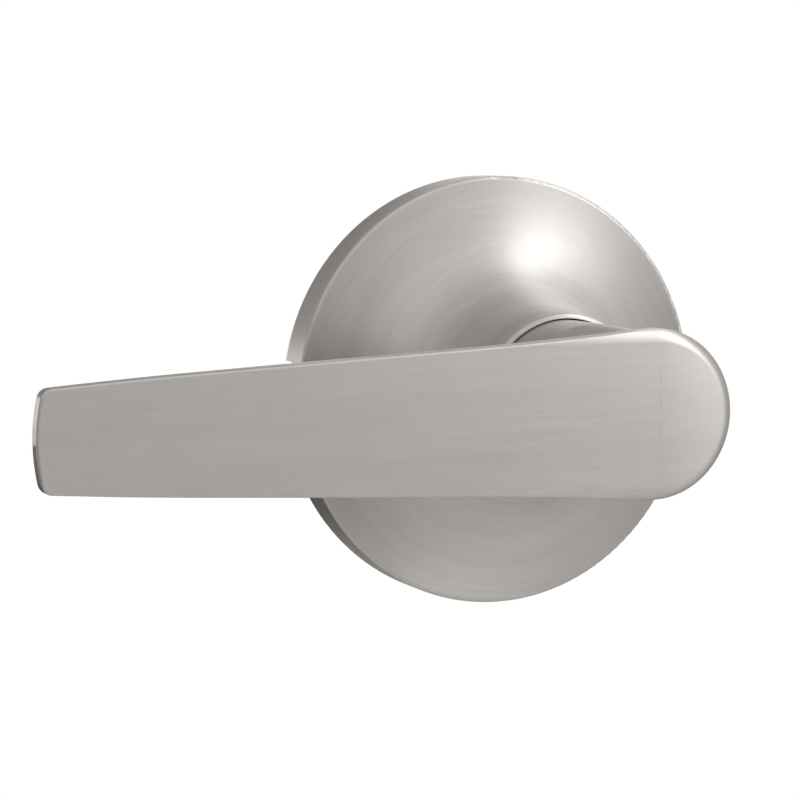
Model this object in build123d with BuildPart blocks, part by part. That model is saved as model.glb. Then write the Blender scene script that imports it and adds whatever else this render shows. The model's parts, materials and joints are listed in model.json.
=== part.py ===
from build123d import *

import math
import os

# The outside half of a cylindrical lever lock with its chassis, in millimetres.
# The origin is on the lever's axis, in the plane of the door's face.
# Z is up, the blade points to -X, the latch is at +X, and the room beyond the door is at +Y.
# A standout is a distance in front of the door's face, towards -Y, so it is negative inside the door.

# Rose: a spun cover whose face flares into a collar
ROSE_RADIUS = 44.45
RIM_DEPTH = 9.04
RIM_EDGE = 0.85
ROSE_WALL = 1.0
COLLAR_RADIUS = 18.0
COLLAR_TOP = 40.0
FLARE_PULL = (25.5, 9.9)
NECK_PULL = (19.4, 17.5)
FLARE_PULL_INSIDE = (24.8, 8.9)
NECK_PULL_INSIDE = (18.4, 17.1)
NOTCH_HEIGHT = 14.0
NOTCH_DEPTH = 3.3

# Lever: the blade's edge runs through these points, as X and half height
BLADE_FRONT = 66.0
BLADE_ROOT = 5.6
BLADE_TIP = 3.9
FACE_CROWN = 190.0
FACE_FLAT = 0.6
CROWN_ANGLE = 4.0
FACE_ROLL = 3.0
ROLL_ANGLE = 72.0
ROLL_DROP = 2.5
HEEL_CENTRE = 7.1
HEEL_RADIUS = 16.35
HEEL_ANGLE = 3.2
EDGE_POINTS = [(-5.0, 15.45), (-46.0, 13.05), (-75.0, 11.55), (-98.0, 10.25)]
TIP_EDGE = (-112.7, 9.2)
TIP_REACH = 113.9
TIP_CORNER = 2.2
FRONT_ROUND = 0.5
BACK_ROUND = 1.3
HUB_RADIUS = 16.65
HUB_BACK = 32.6
HUB_LEAVE = 52.0
HUB_INSET = 1.0
SOCKET_FRONT = 56.0

# Sleeve, spindle and catch
SLEEVE_RADIUS = 9.5
SLEEVE_BORE = 7.5
SLEEVE_FRONT = 54.0
SLEEVE_BACK = -15.2
RUNNING_FIT = 0.08
KEY_WIDTH = 3.0
SLIP_FIT = 0.05
KEY_BACK = 47.0
SLEEVE_CHAMFER = 0.4
GROOVE_SPAN = (2.95, 3.95)
GROOVE_RADIUS = 9.0
SNAP_RING_RADIUS = 12.0
SNAP_RING_GAP = 3.0
SPINDLE_WIDTH = 8.0
SPINDLE_FRONT = 24.0
SPINDLE_BACK = -66.0
SPINDLE_CHAMFER = 0.8
PIN_RADIUS = 1.5
PIN_FIT = 0.02
PIN_STANDOUT = 15.0
PIN_LENGTH = 18.6
PIN_CHAMFER = 0.3
CATCH_STANDOUT = 43.5
CATCH_RADIUS = 1.9
CATCH_FIT = 0.1
CATCH_TIP = 12.4
CATCH_TIP_ROUND = 0.6
CATCH_HEAD_RADIUS = 3.2
CATCH_HEAD_TOP = 5.2
CATCH_HEAD_BASE = 6.5
CATCH_COIL_RADIUS = 1.6
CATCH_COIL_TURNS = 9
COIL_WIRE = 0.25

# Plate, posts and spring housing
PLATE_RADIUS = 41.8
PLATE_THICKNESS = 2.4
PLATE_HOLE = 15.3
POST_SPACING = 69.85
POST_RADIUS = 4.0
POST_LENGTH = 28.0
POST_CHAMFER = 0.5
POST_NECK_RADIUS = 3.2
POST_HEAD_RADIUS = 5.6
POST_HEAD_HEIGHT = 1.4
POST_THREAD = 2.1
POST_THREAD_DEPTH = 13.0
FLANGE_RADIUS = 28.0
FLANGE_THICKNESS = 1.2
NECK_OUTER = 15.9
NECK_INNER = 15.0
NECK_FRONT = 31.5
NECK_ROOT_ROUND = 1.5
BUSHING_BACK = 24.5
BUSHING_CHAMFER = 0.4
WASHER_THICKNESS = 0.75
WASHER_INNER = 10.2
RIVET_CIRCLE = 24.0
RIVET_ANGLES = [30.0, 150.0, 270.0]
RIVET_RADIUS = 1.4
RIVET_HEAD_RADIUS = 2.6
RIVET_HEAD_HEIGHT = 1.0
RIVET_HEAD_ROUND = 0.7
CLIP_ANGLES = [60.0, 180.0, 300.0]
CLIP_SPREAD = 18.0
CLIP_OUTLINE = [(37.0, 2.4), (37.0, 3.1), (42.7, 3.1), (42.7, 2.5), (43.4, 1.9), (42.7, 1.3), (42.7, 0.6),
                (42.0, 0.6), (42.0, 2.4)]

# Return spring: its two hooks straddle a fixed rib and the driver's finger, both at the bottom
SPRING_WIRE = 0.75
SPRING_RADIUS = 11.6
SPRING_COILS = 5
SPRING_PITCH = 2.3
SPRING_BACK = 9.5
COIL_END_ANGLE = 16.0
HOOK_BEND = 1.6
HOOK_TAIL = 1.0
TAB_WIDTH = 2.4
RIB_INNER = 13.6
RIB_OUTER = 15.4
RIB_SPAN = (8.0, 24.0)
FINGER_INNER = 12.6
FINGER_OUTER = 13.2
DRIVER_SPAN = (4.4, 7.4)
FINGER_FRONT = 22.6

# Chassis: a drum with two caps, whose hubs carry the sleeve and the spindle
CHASSIS_RADIUS = 26.0
CHASSIS_WALL = 1.5
CAP_RADIUS = 26.4
DRUM_FRONT = -8.0
DRUM_BACK = -35.0
CAP_THICKNESS = 2.0
CAP_EDGE = 0.6
THREADED_HUB = 15.0
HUB_BORE = 11.6
FRONT_HUB_END = 2.2
REAR_HUB_END = -47.0
REAR_BUSHING_END = -46.5
THREAD_PITCH = 1.5
THREAD_DEPTH = 0.45
CUT_MARGIN = 0.1
LATCH_WINDOW = (-30.0, -13.0)
LATCH_WINDOW_HEIGHT = 19.0
FAR_WINDOW = (-27.0, -16.0)
FAR_WINDOW_HEIGHT = 13.0
SCREW_SPOTS = [(9.6, 20.7), (-9.6, 20.7), (9.6, -20.7), (-9.6, -20.7)]
SCREW_RADIUS = 1.4
SCREW_HEAD_RADIUS = 2.5
SCREW_HEAD_HEIGHT = 1.5
SCREW_CROSS = (3.2, 0.6)
SCREW_CROSS_DEPTH = 0.9
NUT_RADIUS = 21.0
NUT_BORE = 15.05
NUT_SPAN = (-5.2, -0.6)
NUT_NOTCHES = 8
NUT_NOTCH = 3.6
NUT_CHAMFER = 0.5

# Retractor, its cams, rails and springs
CAM_RADIUS = 16.0
CAM_HUB = 10.6
FRONT_CAM = (-15.0, -12.0)
REAR_CAM = (-31.5, -28.5)
REAR_CAM_HUB = 8.0
SLIDE_SPAN = (-27.0, -16.5)
SLIDE_X = (-8.8, 21.0)
SLIDE_HALF_HEIGHT = 11.0
EAR_X = (-4.3, 3.0)
EAR_HEIGHT = 16.6
CHEEK_X = (-4.3, -0.8)
CHEEK_LOW = 10.9
CHEEK_SPANS = [(-16.5, -11.5), (-32.0, -27.0)]
SLOT_X = (-6.2, 19.0)
SLOT_HALF_HEIGHT = 6.2
HOOK_SEAT_X = (15.0, 18.5)
HOOK_SEAT_LOW = 8.2
GUIDE_HEIGHT = 17.0
GUIDE_THICKNESS = 1.2
GUIDE_HALF_WIDTH = 15.8
PUSH_COIL_RADIUS = 1.9
PUSH_COIL_TURNS = 6
PUSH_COIL_HEIGHT = 13.8
PUSH_COIL_SEAT_X = -18.5
PUSH_POCKET_RADIUS = 2.4
PUSH_POCKET_DEPTH = 5.8


def section_plane(angle=0.0):
    """A half-plane through the lever's axis: its x is the radius and its y is the standout."""
    turn = math.radians(angle)
    outward = (math.cos(turn), 0, math.sin(turn))
    normal = (math.sin(turn), 0, -math.cos(turn))
    return Plane(origin=(0, 0, 0), x_dir=outward, z_dir=normal)


def standing(standout):
    """The plane at a standout, seen from the front: its x is X and its y is Z."""
    return Plane.XZ.offset(standout)


def around(radius, angles):
    """Places on a circle about the lever's axis."""
    return [(radius * math.cos(math.radians(a)), radius * math.sin(math.radians(a))) for a in angles]


def ring(outer, inner, span, mode=Mode.ADD):
    """A ring about the lever's axis between two standouts, or a disc when inner is 0."""
    with BuildSketch(standing(span[0])) as outline:
        Circle(outer)
        if inner > 0:
            Circle(inner, mode=Mode.SUBTRACT)
    extrude(outline.sketch, amount=span[1] - span[0], mode=mode)


def block(x_span, span, z_span, mode=Mode.ADD):
    """A box between two values of X, two standouts and two heights."""
    with BuildSketch(standing(span[0])) as outline:
        with Locations(((x_span[0] + x_span[1]) / 2, (z_span[0] + z_span[1]) / 2)):
            Rectangle(x_span[1] - x_span[0], z_span[1] - z_span[0])
    extrude(outline.sketch, amount=span[1] - span[0], mode=mode)


def pegs(spots, radius, span, mode=Mode.ADD):
    """Round pegs or holes along the lever's axis, one at each place."""
    with BuildSketch(standing(span[0])) as outline:
        with Locations(*spots):
            Circle(radius)
    extrude(outline.sketch, amount=span[1] - span[0], mode=mode)


def half_disc(radius, span, mode=Mode.ADD):
    """The half of a disc that lies at +X."""
    with BuildSketch(standing(span[0])) as outline:
        Circle(radius)
        with Locations((-radius / 2, 0)):
            Rectangle(radius, 2 * radius, mode=Mode.SUBTRACT)
    extrude(outline.sketch, amount=span[1] - span[0], mode=mode)


def wind(path, wire):
    """Round wire along a helix."""
    with BuildSketch(Plane(origin=path @ 0, z_dir=path % 0)) as section:
        Circle(wire)
    sweep(section.sketch, path=path, is_frenet=True)


def thread_grooves(radius, span):
    """Turned grooves that stand for a thread on a hub."""
    count = int((span[1] - span[0]) / THREAD_PITCH)
    for step in range(count):
        middle = span[0] + (step + 0.5) * THREAD_PITCH
        with BuildSketch(section_plane()) as groove:
            with BuildLine():
                Polyline(
                    (radius + CUT_MARGIN, middle - THREAD_DEPTH),
                    (radius - THREAD_DEPTH, middle),
                    (radius + CUT_MARGIN, middle + THREAD_DEPTH),
                    close=True,
                )
            make_face()
        revolve(groove.sketch, axis=Axis.Y, mode=Mode.SUBTRACT)


def save(sub_part, name):
    """Labels a finished sub-part and writes it."""
    sub_part.part.label = name
    export_step(sub_part.part, f"parts/{name}.step")


os.makedirs("parts", exist_ok=True)

# ---- Lever: a flat blade with a round heel, on a round hub with the sleeve's socket

heel_turn = math.radians(HEEL_ANGLE)
heel_top = (HEEL_CENTRE - HEEL_RADIUS * math.sin(heel_turn), HEEL_RADIUS * math.cos(heel_turn))
upper_edge = [heel_top, *EDGE_POINTS, TIP_EDGE]
lower_edge = [(x, -z) for x, z in reversed(upper_edge)]
heel_leave = (-math.cos(heel_turn), -math.sin(heel_turn))
heel_arrive = (math.cos(heel_turn), -math.sin(heel_turn))
tip_slope = (EDGE_POINTS[-1][1] - TIP_EDGE[1]) / (EDGE_POINTS[-1][0] - TIP_EDGE[0])

section_back = BLADE_ROOT + 1 - BLADE_FRONT

# Half of the blade's section: a crowned face that rolls over towards the heel's edge
with BuildLine() as face_section:
    middle = Line((-BLADE_FRONT, 0), (-BLADE_FRONT, FACE_FLAT))
    crown = JernArc(middle @ 1, (0, 1), FACE_CROWN, -CROWN_ANGLE)
    roll = JernArc(crown @ 1, crown % 1, FACE_ROLL, -ROLL_ANGLE)
    roll_end = roll @ 1
    Polyline(roll_end, (section_back, roll_end.Y), (section_back, 0), (-BLADE_FRONT, 0))

with BuildPart() as face_form:
    with BuildSketch(Plane.YZ.offset(HEEL_CENTRE)):
        make_face(face_section.edges())
        mirror(about=Plane.XZ)
    extrude(amount=-(TIP_REACH + 1 + HEEL_CENTRE))
    with BuildSketch(Plane.YZ.offset(HEEL_CENTRE)):
        make_face(face_section.edges())
    revolve(axis=Axis((HEEL_CENTRE, 0, 0), (0, 1, 0)), revolution_arc=180)

with BuildPart() as lever_handle:
    with BuildSketch(standing(BLADE_FRONT - BLADE_ROOT)):
        with BuildLine():
            Spline(*upper_edge, tangents=[heel_leave, (-1, -tip_slope)])
            ThreePointArc(upper_edge[-1], (-TIP_REACH, 0), lower_edge[0])
            Spline(*lower_edge, tangents=[(1, -tip_slope), heel_arrive])
            ThreePointArc(lower_edge[-1], (HEEL_CENTRE + HEEL_RADIUS, 0), upper_edge[0])
        make_face()
    extrude(amount=BLADE_ROOT)
    tip_corners = lever_handle.edges().filter_by(Axis.Y).group_by(Axis.X)[0]
    fillet(tip_corners, TIP_CORNER)
    add(face_form.part, mode=Mode.INTERSECT)
    with BuildSketch(Plane.XY.offset(-HEEL_RADIUS)):
        with BuildLine():
            Polyline(
                (-TIP_REACH - 1, -BLADE_FRONT),
                (HEEL_CENTRE + HEEL_RADIUS, -BLADE_FRONT),
                (HEEL_CENTRE + HEEL_RADIUS, BLADE_ROOT - BLADE_FRONT),
                (0, BLADE_ROOT - BLADE_FRONT),
                (-TIP_REACH - 1, BLADE_TIP - BLADE_FRONT),
                close=True,
            )
        make_face()
    extrude(amount=2 * HEEL_RADIUS, mode=Mode.INTERSECT)
    blade_sides = lever_handle.faces().filter_by(lambda face: abs(face.normal_at().Y) < 0.01)
    side_ends = blade_sides.edges().filter_by(Axis.Y, reverse=True)
    fillet(side_ends.filter_by_position(Axis.Y, -BLADE_FRONT - 1, ROLL_DROP - BLADE_FRONT), FRONT_ROUND)
    back_faces = lever_handle.faces().sort_by(Axis.Y)[-2:]
    fillet(back_faces.edges().filter_by(Axis.Z, reverse=True), BACK_ROUND)
    ring(HUB_RADIUS, 0, (HUB_BACK, HUB_LEAVE))
    with BuildSketch(standing(HUB_LEAVE)):
        Circle(HUB_RADIUS)
    with BuildSketch(standing(BLADE_FRONT - BLADE_ROOT + BACK_ROUND)):
        with Locations((HEEL_CENTRE, 0)):
            Circle(HEEL_RADIUS - HUB_INSET)
    loft()
    ring(SLEEVE_RADIUS + RUNNING_FIT, 0, (HUB_BACK, SOCKET_FRONT), Mode.SUBTRACT)
    for side in (-1, 1):
        key_x = sorted((side * (SLEEVE_BORE + SLIP_FIT), side * (SLEEVE_RADIUS + 1)))
        key_z = (SLIP_FIT - KEY_WIDTH / 2, KEY_WIDTH / 2 - SLIP_FIT)
        block(key_x, (KEY_BACK + SLIP_FIT, SOCKET_FRONT), key_z)
    with BuildSketch(Plane.XY.offset(-HUB_RADIUS - 1)):
        with Locations((0, -CATCH_STANDOUT)):
            Circle(CATCH_RADIUS + 2 * CATCH_FIT)
    extrude(amount=HUB_RADIUS + 1 - SLEEVE_BORE, mode=Mode.SUBTRACT)
save(lever_handle, "lever_handle")

# ---- Rose: spun shell with the pry notch at the back of its rim

collar_hole = COLLAR_RADIUS - ROSE_WALL
lip_back = COLLAR_TOP - ROSE_WALL
rim_inner = ROSE_RADIUS - ROSE_WALL
face_back = RIM_DEPTH - ROSE_WALL
with BuildPart() as rose:
    with BuildSketch(section_plane()):
        with BuildLine():
            Line((rim_inner, 0), (ROSE_RADIUS, 0))
            Line((ROSE_RADIUS, 0), (ROSE_RADIUS, RIM_DEPTH - RIM_EDGE))
            RadiusArc((ROSE_RADIUS, RIM_DEPTH - RIM_EDGE), (ROSE_RADIUS - RIM_EDGE, RIM_DEPTH), -RIM_EDGE)
            Bezier((ROSE_RADIUS - RIM_EDGE, RIM_DEPTH), FLARE_PULL, NECK_PULL, (COLLAR_RADIUS, lip_back))
            RadiusArc((COLLAR_RADIUS, lip_back), (collar_hole, COLLAR_TOP), -ROSE_WALL)
            Line((collar_hole, COLLAR_TOP), (collar_hole, lip_back))
            Bezier((collar_hole, lip_back), NECK_PULL_INSIDE, FLARE_PULL_INSIDE, (rim_inner, face_back))
            Line((rim_inner, face_back), (rim_inner, 0))
        make_face()
    revolve(axis=Axis.Y)
    notch_x = (-ROSE_RADIUS - 1, 1 - PLATE_RADIUS)
    block(notch_x, (0, NOTCH_DEPTH), (-NOTCH_HEIGHT / 2, NOTCH_HEIGHT / 2), Mode.SUBTRACT)
save(rose, "rose")

# ---- Mounting plate, its posts, and the clips that hold the rose on it

post_spots = around(POST_SPACING / 2, [90.0, 270.0])
rivet_spots = around(RIVET_CIRCLE, RIVET_ANGLES)

with BuildPart() as mounting_plate:
    ring(PLATE_RADIUS, PLATE_HOLE, (0, PLATE_THICKNESS))
    pegs(post_spots, POST_NECK_RADIUS, (0, PLATE_THICKNESS), Mode.SUBTRACT)
    pegs(rivet_spots, RIVET_RADIUS, (0, PLATE_THICKNESS), Mode.SUBTRACT)
save(mounting_plate, "mounting_plate")

with BuildPart() as mounting_posts:
    pegs(post_spots, POST_RADIUS, (-POST_LENGTH, 0))
    pegs(post_spots, POST_NECK_RADIUS, (0, PLATE_THICKNESS))
    pegs(post_spots, POST_HEAD_RADIUS, (PLATE_THICKNESS, PLATE_THICKNESS + POST_HEAD_HEIGHT))
    pegs(post_spots, POST_THREAD, (-POST_LENGTH, POST_THREAD_DEPTH - POST_LENGTH), Mode.SUBTRACT)
    post_ends = mounting_posts.edges().filter_by(GeomType.CIRCLE).group_by(Axis.Y)[-1]
    chamfer(post_ends.filter_by(lambda edge: edge.radius > POST_THREAD + 1), POST_CHAMFER)
save(mounting_posts, "mounting_posts")

with BuildPart() as rose_clips:
    for clip_angle in CLIP_ANGLES:
        with BuildSketch(section_plane(clip_angle - CLIP_SPREAD / 2)):
            with BuildLine():
                Polyline(*CLIP_OUTLINE, close=True)
            make_face()
        revolve(axis=Axis.Y, revolution_arc=-CLIP_SPREAD)
save(rose_clips, "rose_clips")

# ---- Spring housing: a flange riveted to the plate, and a neck round the sleeve

with BuildPart() as spring_housing:
    flange_front = PLATE_THICKNESS + FLANGE_THICKNESS
    ring(FLANGE_RADIUS, NECK_INNER, (PLATE_THICKNESS, flange_front))
    ring(NECK_OUTER, NECK_INNER, (flange_front, NECK_FRONT))
    neck_root = spring_housing.edges().filter_by(GeomType.CIRCLE).filter_by(
        lambda edge: abs(edge.radius - NECK_OUTER) < 0.01 and abs(edge.center().Y + flange_front) < 0.01
    )
    fillet(neck_root, NECK_ROOT_ROUND)
    block((-TAB_WIDTH / 2, TAB_WIDTH / 2), RIB_SPAN, (-RIB_OUTER, -RIB_INNER))
    pegs(rivet_spots, RIVET_RADIUS, (PLATE_THICKNESS, flange_front), Mode.SUBTRACT)
save(spring_housing, "spring_housing")

with BuildPart() as housing_rivets:
    head_front = PLATE_THICKNESS + FLANGE_THICKNESS + RIVET_HEAD_HEIGHT
    pegs(rivet_spots, RIVET_RADIUS, (0, PLATE_THICKNESS + FLANGE_THICKNESS))
    pegs(rivet_spots, RIVET_HEAD_RADIUS, (PLATE_THICKNESS + FLANGE_THICKNESS, head_front))
    fillet(housing_rivets.edges().filter_by(GeomType.CIRCLE).group_by(Axis.Y)[0], RIVET_HEAD_ROUND)
save(housing_rivets, "housing_rivets")

with BuildPart() as return_spring:
    spring_turns = SPRING_COILS - COIL_END_ANGLE / 180
    spring_path = Helix(
        pitch=SPRING_PITCH,
        height=SPRING_PITCH * spring_turns,
        radius=SPRING_RADIUS,
        center=(0, -SPRING_BACK, 0),
        direction=(0, -1, 0),
        mode=Mode.PRIVATE,
    )
    wind(spring_path, SPRING_WIRE)
    start = spring_path @ 0
    finish = spring_path @ 1
    for wire_end, leave in ((start, -(spring_path % 0)), (finish, spring_path % 1)):
        outward = Vector(wire_end.X, 0, wire_end.Z).normalized()
        bend_end = wire_end + (leave + outward) * HOOK_BEND
        bend = TangentArc(wire_end, bend_end, tangent=leave, mode=Mode.PRIVATE)
        with BuildSketch(Plane(origin=wire_end, z_dir=leave)) as bend_section:
            Circle(SPRING_WIRE)
        sweep(bend_section.sketch, path=bend)
        with BuildSketch(Plane(origin=bend_end, z_dir=outward)) as hook:
            Circle(SPRING_WIRE)
        extrude(hook.sketch, amount=HOOK_TAIL)
    lean = math.degrees(math.atan2(start.Z + finish.Z, start.X + finish.X))
# The hooks come to the bottom, one on each side of the rib and the finger.
return_spring.part = return_spring.part.rotate(Axis.Y, lean + 90)
save(return_spring, "return_spring")

with BuildPart() as spring_driver:
    ring(FINGER_OUTER, SLEEVE_RADIUS, DRIVER_SPAN)
    block(
        (-TAB_WIDTH / 2, TAB_WIDTH / 2),
        (DRIVER_SPAN[1] - 1, FINGER_FRONT),
        (-FINGER_OUTER, -FINGER_INNER),
    )
save(spring_driver, "spring_driver")

with BuildPart() as sleeve_bushing:
    ring(NECK_INNER, SLEEVE_RADIUS + RUNNING_FIT, (BUSHING_BACK, NECK_FRONT))
    chamfer(sleeve_bushing.edges().group_by(Axis.Y)[-1], BUSHING_CHAMFER)
save(sleeve_bushing, "sleeve_bushing")

with BuildPart() as thrust_washer:
    ring(NECK_INNER, WASHER_INNER, (NECK_FRONT, NECK_FRONT + WASHER_THICKNESS))
save(thrust_washer, "thrust_washer")

# ---- Sleeve: the tube that carries the lever and turns in the chassis

with BuildPart() as spindle_sleeve:
    ring(SLEEVE_RADIUS, SLEEVE_BORE, (SLEEVE_BACK, SLEEVE_FRONT))
    chamfer(spindle_sleeve.edges().group_by(Axis.Y)[0], SLEEVE_CHAMFER)
    slot_x = (-SLEEVE_RADIUS, SLEEVE_RADIUS)
    block(slot_x, (KEY_BACK, SLEEVE_FRONT), (-KEY_WIDTH / 2, KEY_WIDTH / 2), Mode.SUBTRACT)
    ring(SLEEVE_RADIUS + 1, GROOVE_RADIUS, GROOVE_SPAN, Mode.SUBTRACT)
    with BuildSketch(Plane.XY.offset(-SLEEVE_RADIUS - 1)):
        with Locations((0, -CATCH_STANDOUT)):
            Circle(CATCH_RADIUS + CATCH_FIT)
    extrude(amount=SLEEVE_RADIUS + 1, mode=Mode.SUBTRACT)
    with BuildSketch(Plane.YZ):
        with Locations((-PIN_STANDOUT, 0)):
            Circle(PIN_RADIUS)
    extrude(amount=SLEEVE_RADIUS + 1, both=True, mode=Mode.SUBTRACT)
save(spindle_sleeve, "spindle_sleeve")

with BuildPart() as sleeve_ring:
    ring(SNAP_RING_RADIUS, GROOVE_RADIUS, (GROOVE_SPAN[0] + SLIP_FIT, GROOVE_SPAN[1] - SLIP_FIT))
    block((-SNAP_RING_GAP / 2, SNAP_RING_GAP / 2), GROOVE_SPAN, (-SNAP_RING_RADIUS, 0), Mode.SUBTRACT)
save(sleeve_ring, "sleeve_ring")

with BuildPart() as drive_spindle:
    with BuildSketch(standing(SPINDLE_BACK)):
        Rectangle(SPINDLE_WIDTH, SPINDLE_WIDTH)
    extrude(amount=SPINDLE_FRONT - SPINDLE_BACK)
    chamfer(drive_spindle.faces().sort_by(Axis.Y)[-1].edges(), SPINDLE_CHAMFER)
    chamfer(drive_spindle.faces().sort_by(Axis.Y)[0].edges(), SPINDLE_CHAMFER)
    with BuildSketch(Plane.YZ):
        with Locations((-PIN_STANDOUT, 0)):
            Circle(PIN_RADIUS)
    extrude(amount=SPINDLE_WIDTH, both=True, mode=Mode.SUBTRACT)
save(drive_spindle, "drive_spindle")

with BuildPart() as spindle_pin:
    with BuildSketch(Plane.YZ):
        with Locations((-PIN_STANDOUT, 0)):
            Circle(PIN_RADIUS - PIN_FIT)
    extrude(amount=PIN_LENGTH / 2, both=True)
    chamfer(spindle_pin.edges().filter_by(GeomType.CIRCLE), PIN_CHAMFER)
save(spindle_pin, "spindle_pin")

# ---- Catch that holds the lever on the sleeve, pushed in through the hub's lower hole

with BuildPart() as lever_catch:
    with BuildSketch(Plane.XY.offset(-CATCH_TIP)):
        with Locations((0, -CATCH_STANDOUT)):
            Circle(CATCH_RADIUS)
    extrude(amount=CATCH_TIP - CATCH_HEAD_TOP)
    fillet(lever_catch.edges().filter_by(GeomType.CIRCLE).group_by(Axis.Z)[0], CATCH_TIP_ROUND)
    with BuildSketch(Plane.XY.offset(-CATCH_HEAD_BASE)):
        with Locations((0, -CATCH_STANDOUT)):
            Circle(CATCH_HEAD_RADIUS)
    extrude(amount=CATCH_HEAD_BASE - CATCH_HEAD_TOP)
save(lever_catch, "lever_catch")

with BuildPart() as catch_spring:
    coil_reach = CATCH_COIL_RADIUS + COIL_WIRE
    coil_base = COIL_WIRE - CATCH_HEAD_TOP
    coil_top = math.sqrt(SLEEVE_BORE**2 - coil_reach**2) - COIL_WIRE
    catch_path = Helix(
        pitch=(coil_top - coil_base) / CATCH_COIL_TURNS,
        height=coil_top - coil_base,
        radius=CATCH_COIL_RADIUS,
        center=(0, -CATCH_STANDOUT, coil_base),
        mode=Mode.PRIVATE,
    )
    wind(catch_path, COIL_WIRE)
save(catch_spring, "catch_spring")

# ---- Chassis: drum, caps with threaded hubs, bushings, screws and the adjusting nut

with BuildPart() as chassis_housing:
    drum_inner = CHASSIS_RADIUS - CHASSIS_WALL
    ring(CHASSIS_RADIUS, drum_inner, (DRUM_BACK, DRUM_FRONT))
    latch_z = (-LATCH_WINDOW_HEIGHT / 2, LATCH_WINDOW_HEIGHT / 2)
    far_z = (-FAR_WINDOW_HEIGHT / 2, FAR_WINDOW_HEIGHT / 2)
    block((0, CHASSIS_RADIUS), LATCH_WINDOW, latch_z, Mode.SUBTRACT)
    block((-CHASSIS_RADIUS, 0), FAR_WINDOW, far_z, Mode.SUBTRACT)
save(chassis_housing, "chassis_housing")

with BuildPart() as front_cap:
    cap_front = DRUM_FRONT + CAP_THICKNESS
    ring(CAP_RADIUS, HUB_BORE, (DRUM_FRONT, cap_front))
    cap_edges = front_cap.edges().filter_by(GeomType.CIRCLE).group_by(Axis.Y)[0]
    chamfer(cap_edges.sort_by(SortBy.RADIUS)[-1], CAP_EDGE)
    ring(THREADED_HUB, HUB_BORE, (cap_front, FRONT_HUB_END))
    thread_grooves(THREADED_HUB, (cap_front, FRONT_HUB_END))
    pegs(SCREW_SPOTS, SCREW_RADIUS, (DRUM_FRONT, cap_front), Mode.SUBTRACT)
save(front_cap, "front_cap")

with BuildPart() as rear_cap:
    cap_back = DRUM_BACK - CAP_THICKNESS
    ring(CAP_RADIUS, HUB_BORE, (cap_back, DRUM_BACK))
    cap_edges = rear_cap.edges().filter_by(GeomType.CIRCLE).group_by(Axis.Y)[-1]
    chamfer(cap_edges.sort_by(SortBy.RADIUS)[-1], CAP_EDGE)
    ring(THREADED_HUB, HUB_BORE, (REAR_HUB_END, cap_back))
    thread_grooves(THREADED_HUB, (REAR_HUB_END + THREAD_PITCH, cap_back))
    pegs(SCREW_SPOTS, SCREW_RADIUS, (cap_back, DRUM_BACK), Mode.SUBTRACT)
save(rear_cap, "rear_cap")

with BuildPart() as front_hub_bushing:
    ring(HUB_BORE, SLEEVE_RADIUS + RUNNING_FIT, (DRUM_FRONT, FRONT_HUB_END))
save(front_hub_bushing, "front_hub_bushing")

with BuildPart() as rear_hub_bushing:
    spindle_clear = SPINDLE_WIDTH / math.sqrt(2) + RUNNING_FIT
    ring(HUB_BORE, spindle_clear, (REAR_BUSHING_END, DRUM_BACK))
    chamfer(rear_hub_bushing.edges().group_by(Axis.Y)[-1], BUSHING_CHAMFER)
save(rear_hub_bushing, "rear_hub_bushing")

with BuildPart() as chassis_screws:
    screw_head = (cap_back - SCREW_HEAD_HEIGHT, cap_back)
    pegs(SCREW_SPOTS, SCREW_RADIUS, (cap_back, cap_front))
    pegs(SCREW_SPOTS, SCREW_HEAD_RADIUS, screw_head)
    for screw_x, screw_z in SCREW_SPOTS:
        for width, height in (SCREW_CROSS, reversed(SCREW_CROSS)):
            block(
                (screw_x - width / 2, screw_x + width / 2),
                (screw_head[0], screw_head[0] + SCREW_CROSS_DEPTH),
                (screw_z - height / 2, screw_z + height / 2),
                Mode.SUBTRACT,
            )
save(chassis_screws, "chassis_screws")

with BuildPart() as hub_nut:
    ring(NUT_RADIUS, NUT_BORE, NUT_SPAN)
    nut_edges = hub_nut.edges().filter_by(GeomType.CIRCLE)
    chamfer(nut_edges.filter_by(lambda edge: edge.radius > NUT_BORE + 1), NUT_CHAMFER)
    with BuildSketch(standing(NUT_SPAN[0])) as notches:
        with PolarLocations(NUT_RADIUS, NUT_NOTCHES):
            Rectangle(NUT_NOTCH, NUT_NOTCH)
    extrude(amount=NUT_SPAN[1] - NUT_SPAN[0], mode=Mode.SUBTRACT)
save(hub_nut, "hub_nut")

# ---- Retractor: the slide that draws the latch, with a cam in front of it and one behind

with BuildPart() as front_cam:
    half_disc(CAM_RADIUS, FRONT_CAM)
    ring(CAM_HUB, 0, FRONT_CAM)
    ring(SLEEVE_RADIUS, 0, FRONT_CAM, Mode.SUBTRACT)
save(front_cam, "front_cam")

with BuildPart() as rear_cam:
    half_disc(CAM_RADIUS, REAR_CAM)
    ring(REAR_CAM_HUB, 0, REAR_CAM)
    half_width = SPINDLE_WIDTH / 2 + SLIP_FIT
    block((-half_width, half_width), REAR_CAM, (-half_width, half_width), Mode.SUBTRACT)
save(rear_cam, "rear_cam")

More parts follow.
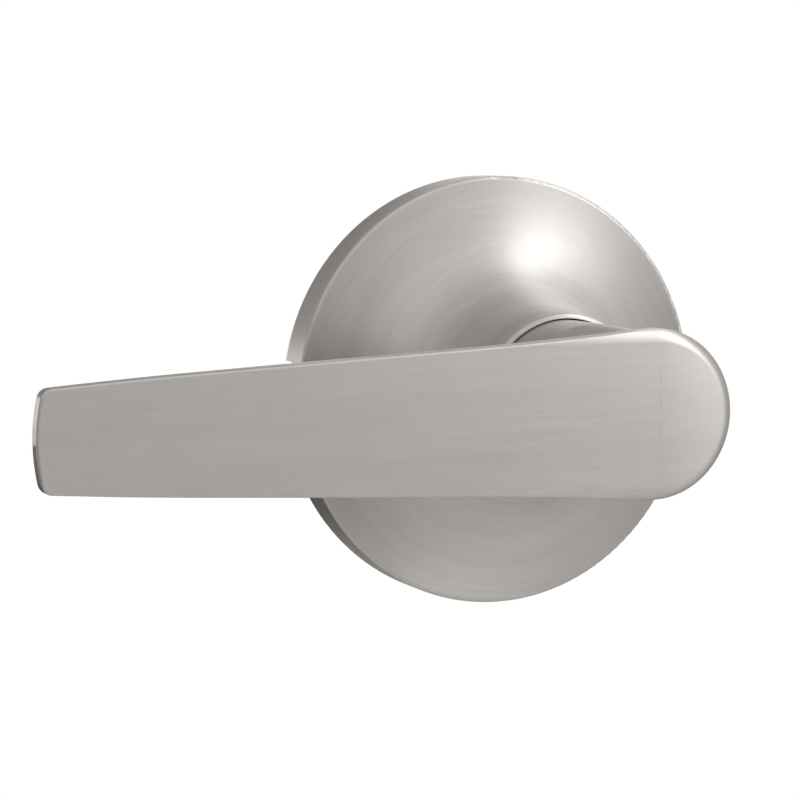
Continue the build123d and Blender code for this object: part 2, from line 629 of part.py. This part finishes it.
with BuildPart() as retractor:
    block(SLIDE_X, SLIDE_SPAN, (-SLIDE_HALF_HEIGHT, SLIDE_HALF_HEIGHT))
    block(EAR_X, SLIDE_SPAN, (-EAR_HEIGHT, EAR_HEIGHT))
    for side in (-1, 1):
        for cheek_span in CHEEK_SPANS:
            block(CHEEK_X, cheek_span, sorted((side * CHEEK_LOW, side * EAR_HEIGHT)))
        seat_z = sorted((side * HOOK_SEAT_LOW, side * SLIDE_HALF_HEIGHT))
        block(HOOK_SEAT_X, SLIDE_SPAN, seat_z, Mode.SUBTRACT)
    block(SLOT_X, SLIDE_SPAN, (-SLOT_HALF_HEIGHT, SLOT_HALF_HEIGHT), Mode.SUBTRACT)
    slide_middle = (SLIDE_SPAN[0] + SLIDE_SPAN[1]) / 2
    with BuildSketch(Plane.YZ.offset(EAR_X[0])):
        with Locations((-slide_middle, PUSH_COIL_HEIGHT), (-slide_middle, -PUSH_COIL_HEIGHT)):
            Circle(PUSH_POCKET_RADIUS)
    extrude(amount=PUSH_POCKET_DEPTH, mode=Mode.SUBTRACT)
save(retractor, "retractor")

with BuildPart() as retractor_springs:
    for side in (-1, 1):
        push_start = PUSH_COIL_SEAT_X + COIL_WIRE
        push_length = EAR_X[0] + PUSH_POCKET_DEPTH - COIL_WIRE - push_start
        push_path = Helix(
            pitch=push_length / PUSH_COIL_TURNS,
            height=push_length,
            radius=PUSH_COIL_RADIUS,
            center=(push_start, -slide_middle, side * PUSH_COIL_HEIGHT),
            direction=(1, 0, 0),
            mode=Mode.PRIVATE,
        )
        wind(push_path, COIL_WIRE)
save(retractor_springs, "retractor_springs")

with BuildPart() as guide_plates:
    for side in (-1, 1):
        rail_z = sorted((side * GUIDE_HEIGHT, side * (GUIDE_HEIGHT + GUIDE_THICKNESS)))
        block((-GUIDE_HALF_WIDTH, GUIDE_HALF_WIDTH), (DRUM_BACK, DRUM_FRONT), rail_z)
save(guide_plates, "guide_plates")
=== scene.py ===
import json
import math

import bpy
from mathutils import Matrix, Vector

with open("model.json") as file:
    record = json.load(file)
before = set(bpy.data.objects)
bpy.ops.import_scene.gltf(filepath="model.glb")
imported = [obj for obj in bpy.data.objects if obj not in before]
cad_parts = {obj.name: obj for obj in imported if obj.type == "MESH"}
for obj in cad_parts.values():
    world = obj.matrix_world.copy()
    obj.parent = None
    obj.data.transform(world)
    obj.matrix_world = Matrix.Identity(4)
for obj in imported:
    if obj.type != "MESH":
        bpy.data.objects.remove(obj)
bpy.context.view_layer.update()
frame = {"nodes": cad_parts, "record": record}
nodes = frame["nodes"]

# In metres: the lever's axis runs along Y through the origin, with the blade in front, at -Y.

# Camera: in front of the door, a little to the left and above, with the lever's axis right of centre
VIEW_AZIMUTH = math.radians(-22.66)
VIEW_ELEVATION = math.radians(5.58)
VIEW_DISTANCE = 0.5648
VIEW_LENS = 120.6
AIM_LEFT = 0.01723
AIM_BELOW = 0.00273

# Studio: the lockset hangs at a door's height over a pale floor, and its lights are this far from it
STUDIO_REACH = 1.1
FLOOR_DROP = 1.0
FLOOR_RADIUS = 0.7

# Softboxes: name, the directions in which the lock sees the two ends, width and radiance
SOFTBOXES = [
    ("key_strip", (0.60, -0.78, 0.17), (0.44, -0.12, 0.88), 0.25, 2.9),
    ("left_panel", (-0.97, 0.15, 0.04), (-0.45, 0.90, 0.04), 0.20, 1.4),
    ("rear_panel", (0.30, 0.93, 0.17), (0.75, 0.65, 0.17), 0.45, 2.0),
]

# Brushed nickel: tones are the darkest and lightest streaks as factors of its colour, sheens their roughness
NICKEL = (0.657, 0.635, 0.617)
BLADE_TONES = (0.93, 1.04)
BLADE_SHEEN = (0.38, 0.46)
ROSE_TONES = (0.89, 1.16)
ROSE_SHEEN = (0.41, 0.51)
BRUSH_STRETCH = 0.78
ACROSS_BRUSHING = 0.25
BLADE_BRUSHING = (1.0, 0.013, 0.021)

# The noise textures stay about between these values
NOISE_LOW = 0.3
NOISE_HIGH = 0.7


# ---- Node helpers


def new_material(name):
    """An empty material with a Principled shader, which is returned with it."""
    material = bpy.data.materials.new(name)
    material.use_nodes = True
    tree = material.node_tree
    tree.nodes.clear()
    output = tree.nodes.new("ShaderNodeOutputMaterial")
    shader = tree.nodes.new("ShaderNodeBsdfPrincipled")
    tree.links.new(shader.outputs["BSDF"], output.inputs["Surface"])
    return material, tree, shader


def add_node(tree, kind, operation=None, **values):
    """A node whose named inputs are set to numbers or linked from sockets."""
    node = tree.nodes.new(kind)
    if operation:
        node.operation = operation
    for key, value in values.items():
        socket = node.inputs[int(key[1:])] if key[0] == "i" and key[1:].isdigit() else node.inputs[key]
        if isinstance(value, bpy.types.NodeSocket):
            tree.links.new(value, socket)
        else:
            socket.default_value = value
    return node


def math_node(tree, operation, first, second=0.0):
    """The result of a Math node on two numbers or sockets."""
    return add_node(tree, "ShaderNodeMath", operation, i0=first, i1=second).outputs[0]


def weighted(tree, first, share, second):
    """Two numbers or sockets added in the shares share and 1 - share."""
    first_part = math_node(tree, "MULTIPLY", first, share)
    second_part = math_node(tree, "MULTIPLY", second, 1.0 - share)
    return math_node(tree, "ADD", first_part, second_part)


def object_point(tree):
    """The point in the lock's own frame, in metres."""
    return tree.nodes.new("ShaderNodeTexCoord").outputs["Object"]


def axes_of(tree, vector):
    """The x, y and z of a vector."""
    return tuple(add_node(tree, "ShaderNodeSeparateXYZ", i0=vector).outputs)


def vector_of(tree, x, y, z):
    """A vector from three numbers or sockets."""
    return add_node(tree, "ShaderNodeCombineXYZ", i0=x, i1=y, i2=z).outputs[0]


def scaled(tree, vector, factors):
    """A vector times three numbers, one for each axis."""
    return add_node(tree, "ShaderNodeVectorMath", "MULTIPLY", i0=vector, i1=factors).outputs[0]


def noise(tree, vector, scale, detail=2.0, roughness=0.5):
    """Values about 0.5 from a noise texture."""
    node = add_node(tree, "ShaderNodeTexNoise", Vector=vector, Scale=scale, Detail=detail)
    node.inputs["Roughness"].default_value = roughness
    return node.outputs["Fac"]


def mapped(tree, value, low, high, to_low, to_high):
    """A value's range from low to high mapped on another range."""
    node = tree.nodes.new("ShaderNodeMapRange")
    node.inputs[1].default_value = low
    node.inputs[2].default_value = high
    node.inputs[3].default_value = to_low
    node.inputs[4].default_value = to_high
    tree.links.new(value, node.inputs[0])
    return node.outputs[0]


def noise_mapped(tree, value, to_low, to_high):
    """A noise's usual range mapped on another range."""
    return mapped(tree, value, NOISE_LOW, NOISE_HIGH, to_low, to_high)


def between(tree, factor, first, second):
    """A colour between two colours."""
    node = tree.nodes.new("ShaderNodeMix")
    node.data_type = "RGBA"
    tree.links.new(factor, node.inputs["Factor"])
    for socket, value in ((node.inputs[6], first), (node.inputs[7], second)):
        if isinstance(value, bpy.types.NodeSocket):
            tree.links.new(value, socket)
        else:
            socket.default_value = (*value, 1.0)
    return node.outputs[2]


def tinted(colour, factor):
    """A colour made lighter or darker."""
    return tuple(channel * factor for channel in colour)


def bump(tree, shader, height, strength, distance):
    """Links a height to the shader's normal."""
    node = add_node(tree, "ShaderNodeBump", Strength=strength, Distance=distance, Height=height)
    tree.links.new(node.outputs[0], shader.inputs["Normal"])


# ---- Materials


def finish_brushed(tree, shader, streaks, clouds, brush_direction, tones, sheen):
    """What both brushed nickel surfaces share: streaks, faint clouds and a sheen across the brushing."""
    streak_tone = noise_mapped(tree, streaks, 0.0, 0.75)
    cloud_tone = noise_mapped(tree, clouds, 0.0, 0.25)
    tone = math_node(tree, "ADD", streak_tone, cloud_tone)
    colour = between(tree, tone, tinted(NICKEL, tones[0]), tinted(NICKEL, tones[1]))
    tree.links.new(colour, shader.inputs["Base Color"])
    tree.links.new(noise_mapped(tree, streaks, *sheen), shader.inputs["Roughness"])
    shader.inputs["Metallic"].default_value = 1.0
    shader.inputs["Anisotropic"].default_value = BRUSH_STRETCH
    shader.inputs["Anisotropic Rotation"].default_value = ACROSS_BRUSHING
    turned = tree.nodes.new("ShaderNodeVectorTransform")
    turned.vector_type = "VECTOR"
    turned.convert_from = "OBJECT"
    turned.convert_to = "WORLD"
    tree.links.new(brush_direction, turned.inputs[0])
    tree.links.new(turned.outputs[0], shader.inputs["Tangent"])
    bump(tree, shader, streaks, 0.12, 0.00003)


def straight_brushed():
    """Satin nickel brushed along the blade."""
    material, tree, shader = new_material("nickel_straight_brushed")
    point = object_point(tree)
    fine = noise(tree, scaled(tree, point, (45.0, 1700.0, 1700.0)), 2.0, 3.0, 0.65)
    broad = noise(tree, scaled(tree, point, (14.0, 420.0, 420.0)), 1.0, 2.0)
    streaks = weighted(tree, fine, 0.7, broad)
    clouds = noise(tree, point, 60.0, 3.0)
    along = vector_of(tree, *BLADE_BRUSHING)
    finish_brushed(tree, shader, streaks, clouds, along, BLADE_TONES, BLADE_SHEEN)
    return material


def spun_brushed():
    """Satin nickel brushed in circles about the lever's axis."""
    material, tree, shader = new_material("nickel_spun_brushed")
    point = object_point(tree)
    x, y, z = axes_of(tree, point)
    x_squared, z_squared = (math_node(tree, "MULTIPLY", part, part) for part in (x, z))
    radius = math_node(tree, "SQRT", math_node(tree, "ADD", x_squared, z_squared))
    along = math_node(tree, "ADD", radius, y)
    turn_x = math_node(tree, "DIVIDE", x, radius)
    turn_z = math_node(tree, "DIVIDE", z, radius)

    def rings(per_metre, spread, scale, detail):
        """Noise drawn out round the axis, fine across it."""
        across = math_node(tree, "MULTIPLY", along, per_metre)
        side_x, side_z = (math_node(tree, "MULTIPLY", turn, spread) for turn in (turn_x, turn_z))
        return noise(tree, vector_of(tree, side_x, across, side_z), scale, detail, 0.6)

    fine = rings(1700.0, 1.6, 2.0, 3.0)
    broad = rings(330.0, 0.5, 1.0, 3.0)
    streaks = weighted(tree, fine, 0.55, broad)
    clouds = noise(tree, point, 45.0, 3.0)
    around = vector_of(tree, math_node(tree, "MULTIPLY", z, -1.0), 0.0, x)
    finish_brushed(tree, shader, streaks, clouds, around, ROSE_TONES, ROSE_SHEEN)
    return material


def plated(name, colours, roughness, grain, pits=0.05):
    """A plated or bare metal with clouds of tone, a fine grain and small pits."""
    material, tree, shader = new_material(name)
    point = object_point(tree)
    clouds = noise(tree, point, 90.0, 4.0, 0.6)
    speckle = noise(tree, point, grain, 3.0, 0.7)
    mixed = between(tree, mapped(tree, clouds, 0.35, 0.65, 0.0, 1.0), colours[0], colours[1])
    if len(colours) > 2:
        drift = noise(tree, point, 40.0, 2.0)
        mixed = between(tree, mapped(tree, drift, 0.5, 0.75, 0.0, 1.0), mixed, colours[2])
    dark = between(tree, mapped(tree, speckle, 0.3, 0.5, 0.35, 0.0), mixed, tinted(colours[0], 0.45))
    tree.links.new(dark, shader.inputs["Base Color"])
    dullness = noise_mapped(tree, speckle, roughness - 0.06, roughness + 0.08)
    tree.links.new(dullness, shader.inputs["Roughness"])
    shader.inputs["Metallic"].default_value = 1.0
    bump(tree, shader, speckle, pits, 0.0001)
    return material


def moulded_nylon():
    """White moulded nylon."""
    material, tree, shader = new_material("white_nylon")
    point = object_point(tree)
    clouds = noise(tree, point, 120.0, 3.0)
    colour = between(tree, clouds, (0.78, 0.77, 0.71), (0.86, 0.85, 0.81))
    tree.links.new(colour, shader.inputs["Base Color"])
    tree.links.new(noise_mapped(tree, clouds, 0.38, 0.5), shader.inputs["Roughness"])
    bump(tree, shader, noise(tree, point, 900.0, 2.0), 0.05, 0.00005)
    return material


def paint_nodes():
    """Gives every CAD node the material of its slot in the record."""
    zinc = ((0.52, 0.55, 0.59), (0.68, 0.70, 0.73))
    chromate = ((0.62, 0.46, 0.18), (0.74, 0.60, 0.27), (0.52, 0.50, 0.34))
    blued = ((0.16, 0.16, 0.18), (0.27, 0.27, 0.29))
    sintered = ((0.26, 0.25, 0.24), (0.34, 0.33, 0.32))
    die_cast = ((0.44, 0.45, 0.47), (0.56, 0.57, 0.59))
    bronze = ((0.50, 0.30, 0.13), (0.66, 0.44, 0.22))
    materials = {
        "satin_nickel": straight_brushed(),
        "satin_nickel_spun": spun_brushed(),
        "zinc_plated_steel": plated("zinc_plate", zinc, 0.30, 1500.0),
        "yellow_chromate_steel": plated("yellow_chromate", chromate, 0.30, 1500.0),
        "spring_steel": plated("spring_steel", blued, 0.34, 2500.0),
        "sintered_steel": plated("sintered_steel", sintered, 0.52, 3500.0, 0.25),
        "cast_zinc": plated("cast_zinc", die_cast, 0.46, 1800.0, 0.18),
        "bronze": plated("oiled_bronze", bronze, 0.40, 3000.0, 0.15),
        "white_nylon": moulded_nylon(),
    }
    for part in frame["record"]["subparts"]:
        node = nodes[part["node"]]
        node.data.materials.clear()
        node.data.materials.append(materials[part["material_slot"]])


# ---- Studio


def add_camera():
    """The camera looks along the view direction at a point beside the lever's axis."""
    cos_a, sin_a = math.cos(VIEW_AZIMUTH), math.sin(VIEW_AZIMUTH)
    cos_e, sin_e = math.cos(VIEW_ELEVATION), math.sin(VIEW_ELEVATION)
    back = Vector((sin_a * cos_e, -cos_a * cos_e, sin_e))
    right = Vector((cos_a, sin_a, 0))
    up = back.cross(right)
    camera = bpy.data.objects.new("camera", bpy.data.cameras.new("camera"))
    bpy.context.scene.collection.objects.link(camera)
    camera.data.lens = VIEW_LENS
    camera.data.clip_start = 0.01
    camera.location = back * VIEW_DISTANCE - right * AIM_LEFT - up * AIM_BELOW
    camera.rotation_euler = (-back).to_track_quat("-Z", "Y").to_euler()
    bpy.context.scene.camera = camera


def add_softbox(name, first, last, width, radiance):
    """A strip light that faces the lock, with its ends in two directions seen from the lock."""
    start = Vector(first).normalized() * STUDIO_REACH
    end = Vector(last).normalized() * STUDIO_REACH
    middle = (start + end) / 2
    along = (end - start).normalized()
    outward = middle.normalized()
    across = along.cross(outward).normalized()
    light = bpy.data.lights.new(name, "AREA")
    light.shape = "RECTANGLE"
    light.size = width
    light.size_y = (end - start).length
    light.energy = radiance * math.pi * light.size * light.size_y
    softbox = bpy.data.objects.new(name, light)
    bpy.context.scene.collection.objects.link(softbox)
    turn = Matrix((across, outward.cross(across), outward)).transposed()
    softbox.matrix_world = Matrix.Translation(middle) @ turn.to_4x4()


def add_world():
    """White behind the lock. All but the camera's rays see a room, bright high in front, dim low behind."""
    world = bpy.data.worlds.new("studio")
    bpy.context.scene.world = world
    world.use_nodes = True
    tree = world.node_tree
    tree.nodes.clear()
    direction = tree.nodes.new("ShaderNodeTexCoord").outputs["Generated"]
    x, y, height = axes_of(tree, direction)
    above = mapped(tree, height, -0.1, 0.5, 0.30, 0.90)
    below = mapped(tree, height, -0.65, -0.2, 0.36, 0.0)
    front = math_node(tree, "ADD", above, below)
    rear_low = mapped(tree, height, -0.4, 0.05, 0.05, 0.45)
    rear_high = mapped(tree, height, 0.1, 0.7, 0.0, -0.30)
    rear = math_node(tree, "ADD", rear_low, rear_high)
    side = mapped(tree, x, -0.4, 0.8, -0.09, 0.13)
    depth = mapped(tree, y, -0.4, 0.5, 0.0, 1.0)
    fall = math_node(tree, "MULTIPLY", math_node(tree, "SUBTRACT", rear, front), depth)
    level = math_node(tree, "ADD", math_node(tree, "ADD", fall, front), side)
    tint = between(tree, depth, (1.0, 0.99, 0.975), (1.0, 0.94, 0.87))
    room = add_node(tree, "ShaderNodeBackground", Color=tint, Strength=level)
    white = add_node(tree, "ShaderNodeBackground", Color=(1.0, 1.0, 1.0, 1.0), Strength=1.0)
    mixer = tree.nodes.new("ShaderNodeMixShader")
    tree.links.new(tree.nodes.new("ShaderNodeLightPath").outputs["Is Camera Ray"], mixer.inputs[0])
    tree.links.new(room.outputs[0], mixer.inputs[1])
    tree.links.new(white.outputs[0], mixer.inputs[2])
    output = tree.nodes.new("ShaderNodeOutputWorld")
    tree.links.new(mixer.outputs[0], output.inputs["Surface"])


def add_floor():
    """A round pale floor, as far below the lock as a door's lever is above its floor."""
    centre = (0, 0, -FLOOR_DROP)
    bpy.ops.mesh.primitive_circle_add(vertices=96, radius=FLOOR_RADIUS, fill_type="NGON", location=centre)
    floor = bpy.context.object
    floor.name = "floor"
    material, tree, shader = new_material("pale_floor")
    grain = noise(tree, object_point(tree), 6.0, 4.0)
    colour = between(tree, grain, (0.86, 0.855, 0.845), (0.90, 0.895, 0.885))
    tree.links.new(colour, shader.inputs["Base Color"])
    shader.inputs["Roughness"].default_value = 0.8
    floor.data.materials.append(material)


paint_nodes()
add_camera()
add_world()
add_floor()
for softbox in SOFTBOXES:
    add_softbox(*softbox)
bpy.context.scene.view_settings.view_transform = "Standard"
